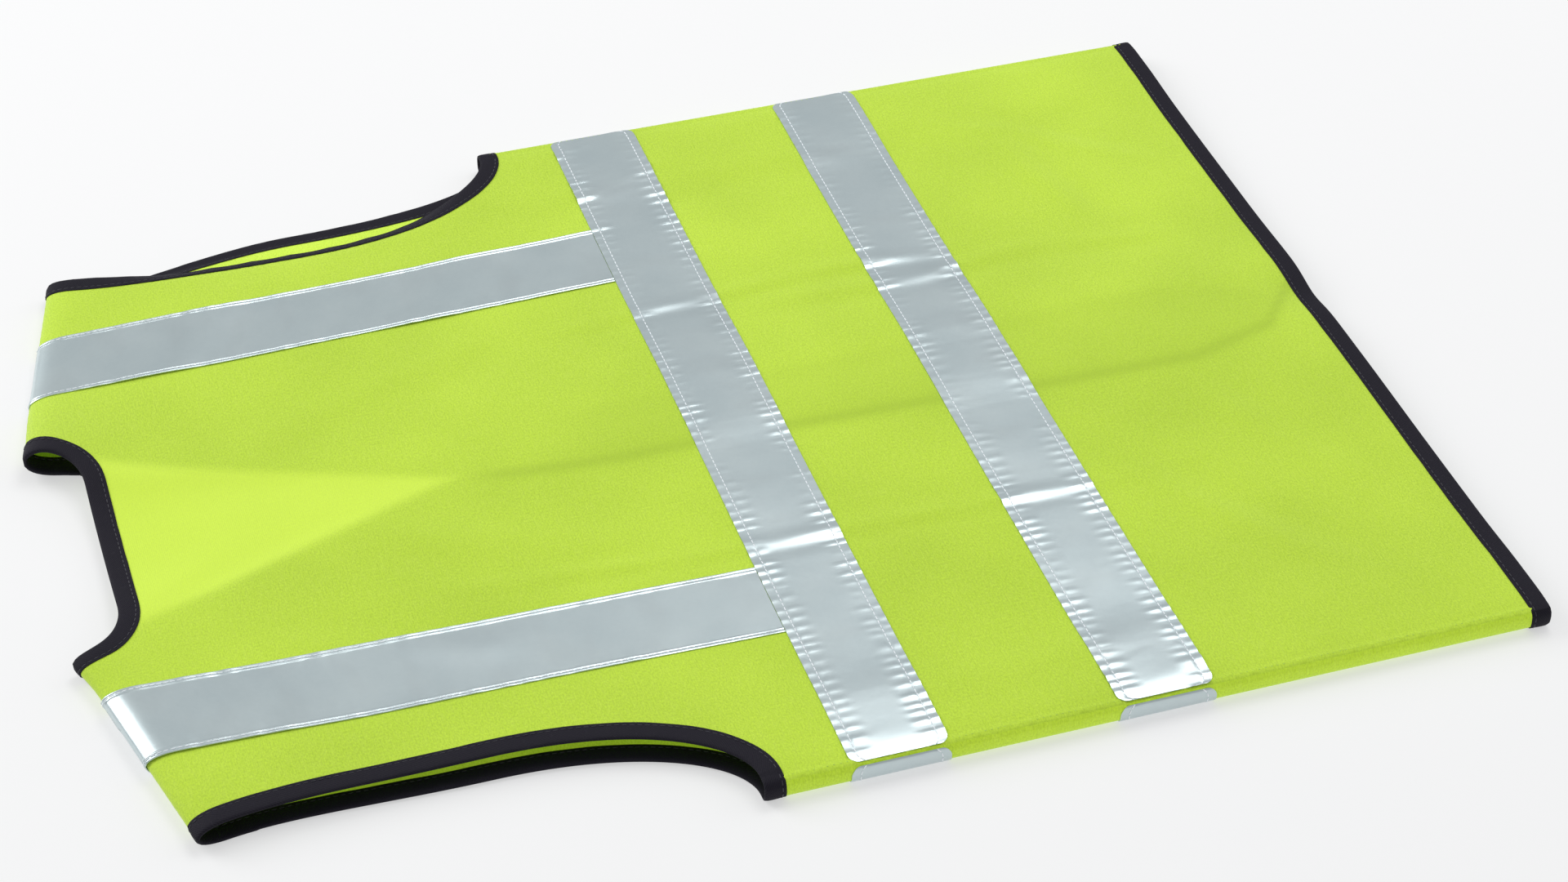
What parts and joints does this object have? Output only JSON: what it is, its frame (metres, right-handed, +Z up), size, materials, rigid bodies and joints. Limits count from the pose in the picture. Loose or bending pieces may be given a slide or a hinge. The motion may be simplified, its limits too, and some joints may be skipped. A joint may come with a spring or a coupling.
{
  "type": "high visibility vest",
  "caption": "Sleeveless safety vest in fluorescent yellow-green cloth with reflective tapes, dark bound edges and a front that opens, lying flat with its back upwards.",
  "frame": {"origin": "on the floor under the middle of the vest as it lies flat on its front", "axes": "+Z up out of the back panel, +Y towards the neck, +X towards the wearer's right side"},
  "size_m": [0.548, 0.702, 0.0136],
  "materials": {
    "cloth": "matte fluorescent yellow-green knit",
    "reflective_tape": "satin silver-grey reflective, stitched along both edges",
    "binding": "matte dark purple-black folded tape",
    "closure": "hook and loop pile, yellow-green",
    "label": "white satin ribbon, blank"
  },
  "bodies": {
    "root": {"back_hem_binding": "binding", "back_panel": "cloth", "back_tape_lower": "reflective_tape", "back_tape_upper": "reflective_tape", "care_label": "label", "left_armhole_binding": "binding", "left_brace_tape_back": "reflective_tape", "left_brace_tape_front": "reflective_tape", "left_front_panel": "cloth", "left_front_tape_lower": "reflective_tape", "left_front_tape_upper": "reflective_tape", "left_hem_binding": "binding", "neck_binding": "binding", "right_armhole_binding": "binding", "right_brace_tape_back": "reflective_tape", "right_brace_tape_front": "reflective_tape", "right_front_panel": "cloth", "right_front_tape_lower": "reflective_tape", "right_front_tape_upper": "reflective_tape", "right_hem_binding": "binding"},
    "left_flap": {"left_front_flap": "cloth", "left_flap_binding": "binding", "left_flap_tape_upper": "reflective_tape", "left_flap_tape_lower": "reflective_tape", "hook_strip_upper": "closure", "hook_strip_lower": "closure"},
    "right_flap": {"right_front_flap": "cloth", "right_flap_binding": "binding", "right_flap_tape_upper": "reflective_tape", "right_flap_tape_lower": "reflective_tape", "loop_strip_upper": "closure", "loop_strip_lower": "closure"}
  },
  "joints": [
    {"name": "left_flap_opens", "type": "hinge", "parent": "root", "child": "left_flap", "pos_m": [-0.068, 0, -0.0005], "axis": [0, 1, 0], "range_deg": [0, 165]},
    {"name": "right_flap_opens", "type": "hinge", "parent": "root", "child": "right_flap", "pos_m": [0.068, 0, -0.0005], "axis": [0, -1, 0], "range_deg": [0, 75]}
  ],
  "couplings": [
    {"joint": "right_flap_opens", "follows": "left_flap_opens", "ratio": 0.454}
  ]
}
